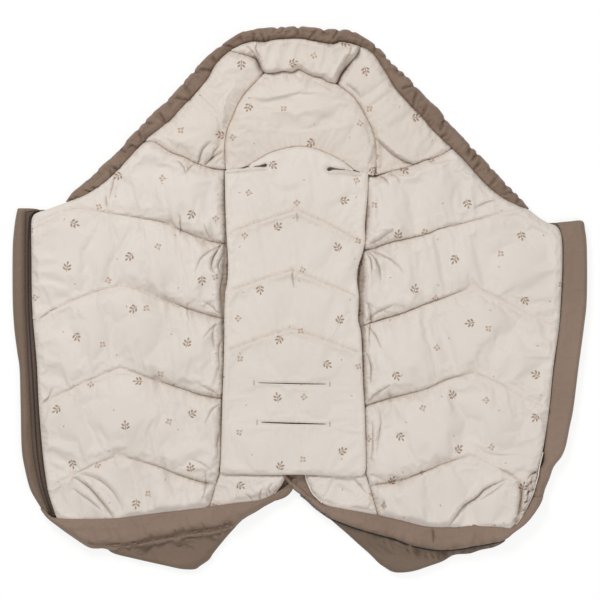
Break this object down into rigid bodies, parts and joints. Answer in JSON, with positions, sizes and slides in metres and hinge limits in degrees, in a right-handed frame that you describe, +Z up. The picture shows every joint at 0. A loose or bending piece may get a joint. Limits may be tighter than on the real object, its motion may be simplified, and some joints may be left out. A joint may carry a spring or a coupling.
{
  "type": "stroller footmuff",
  "caption": "Quilted pushchair footmuff with a gathered hood and a centre harness panel, unzipped fully and laid flat; the halves fold over and the hood lifts.",
  "frame": {"origin": "on the floor under the middle of the open footmuff", "axes": "+X to the right seen from above, +Y towards the hood, +Z up from the floor through the lining"},
  "size_m": [1.0332, 0.9827, 0.0448],
  "materials": {
    "lining": "soft woven cotton with a small brown print",
    "shell": "closely woven matte outer cloth, taupe brown",
    "band": "closely woven matte outer cloth, a little lighter where it faces up",
    "tape": "ribbed zip tape, dark brown",
    "coil": "nylon zip coil, near black",
    "wadding": "loose white polyester fill",
    "metal": "satin zinc of the slider, tab and stops"
  },
  "bodies": {
    "back": {"back_shell": "shell", "back_wadding": "wadding", "back_centre_lining": "lining", "left_back_quilt": "lining", "right_back_quilt": "lining", "left_foot_quilt": "lining", "right_foot_quilt": "lining", "left_foot_piping": "lining", "right_foot_piping": "lining", "left_back_foot_band": "band", "right_back_foot_band": "band", "left_back_pouch": "shell", "right_back_pouch": "shell", "foot_zip_tape": "tape", "zip_bottom_stop": "metal"},
    "left_front": {"left_front_shell": "shell", "left_front_wadding": "wadding", "left_front_quilt": "lining", "left_placket": "shell", "left_zip_tape": "tape", "left_zip_coil": "coil", "left_top_stop": "metal", "left_casing_end": "shell", "left_front_foot_band": "band", "left_front_pouch": "shell"},
    "right_front": {"right_front_shell": "shell", "right_front_wadding": "wadding", "right_front_quilt": "lining", "right_placket": "band", "right_zip_tape": "tape", "right_zip_coil": "coil", "right_casing_end": "shell", "right_front_foot_band": "band", "right_front_pouch": "shell"},
    "hood": {"hood_shell": "shell", "hood_wadding": "wadding", "hood_casing": "shell", "left_hood_quilt": "lining", "right_hood_quilt": "lining", "head_panel_quilt": "lining", "head_bolster": "lining", "harness_yoke": "lining"},
    "panel": {"harness_panel": "lining", "upper_slit_binding": "lining", "lower_slit_binding": "lining"},
    "slider": {"zip_slider": "metal"},
    "tab": {"pull_tab": "metal"}
  },
  "joints": [
    {"name": "left_front_fold", "type": "hinge", "parent": "back", "child": "left_front", "pos_m": [-0.243, 0, 0.05], "axis": [0, 1, 0], "range_deg": [0, 155]},
    {"name": "right_front_fold", "type": "hinge", "parent": "back", "child": "right_front", "pos_m": [0.243, 0, 0.05], "axis": [0, -1, 0], "range_deg": [0, 155]},
    {"name": "hood_fold", "type": "hinge", "parent": "back", "child": "hood", "pos_m": [0, 0.22752, 0.05], "axis": [-1, 0, 0], "range_deg": [-60, 0]},
    {"name": "harness_panel_lift", "type": "hinge", "parent": "back", "child": "panel", "pos_m": [0, 0.234, 0.0326], "axis": [1, 0, 0], "range_deg": [-75, 0]},
    {"name": "zip_slide", "type": "slide", "parent": "back", "child": "slider", "axis": [-0.3981, -0.9173, 0], "range_m": [0, 0.045]},
    {"name": "pull_tab_hinge", "type": "hinge", "parent": "slider", "child": "tab", "pos_m": [-0.01296, -0.25863, 0.011], "axis": [0.9173, -0.3981, 0], "range_deg": [-15, 0]}
  ]
}
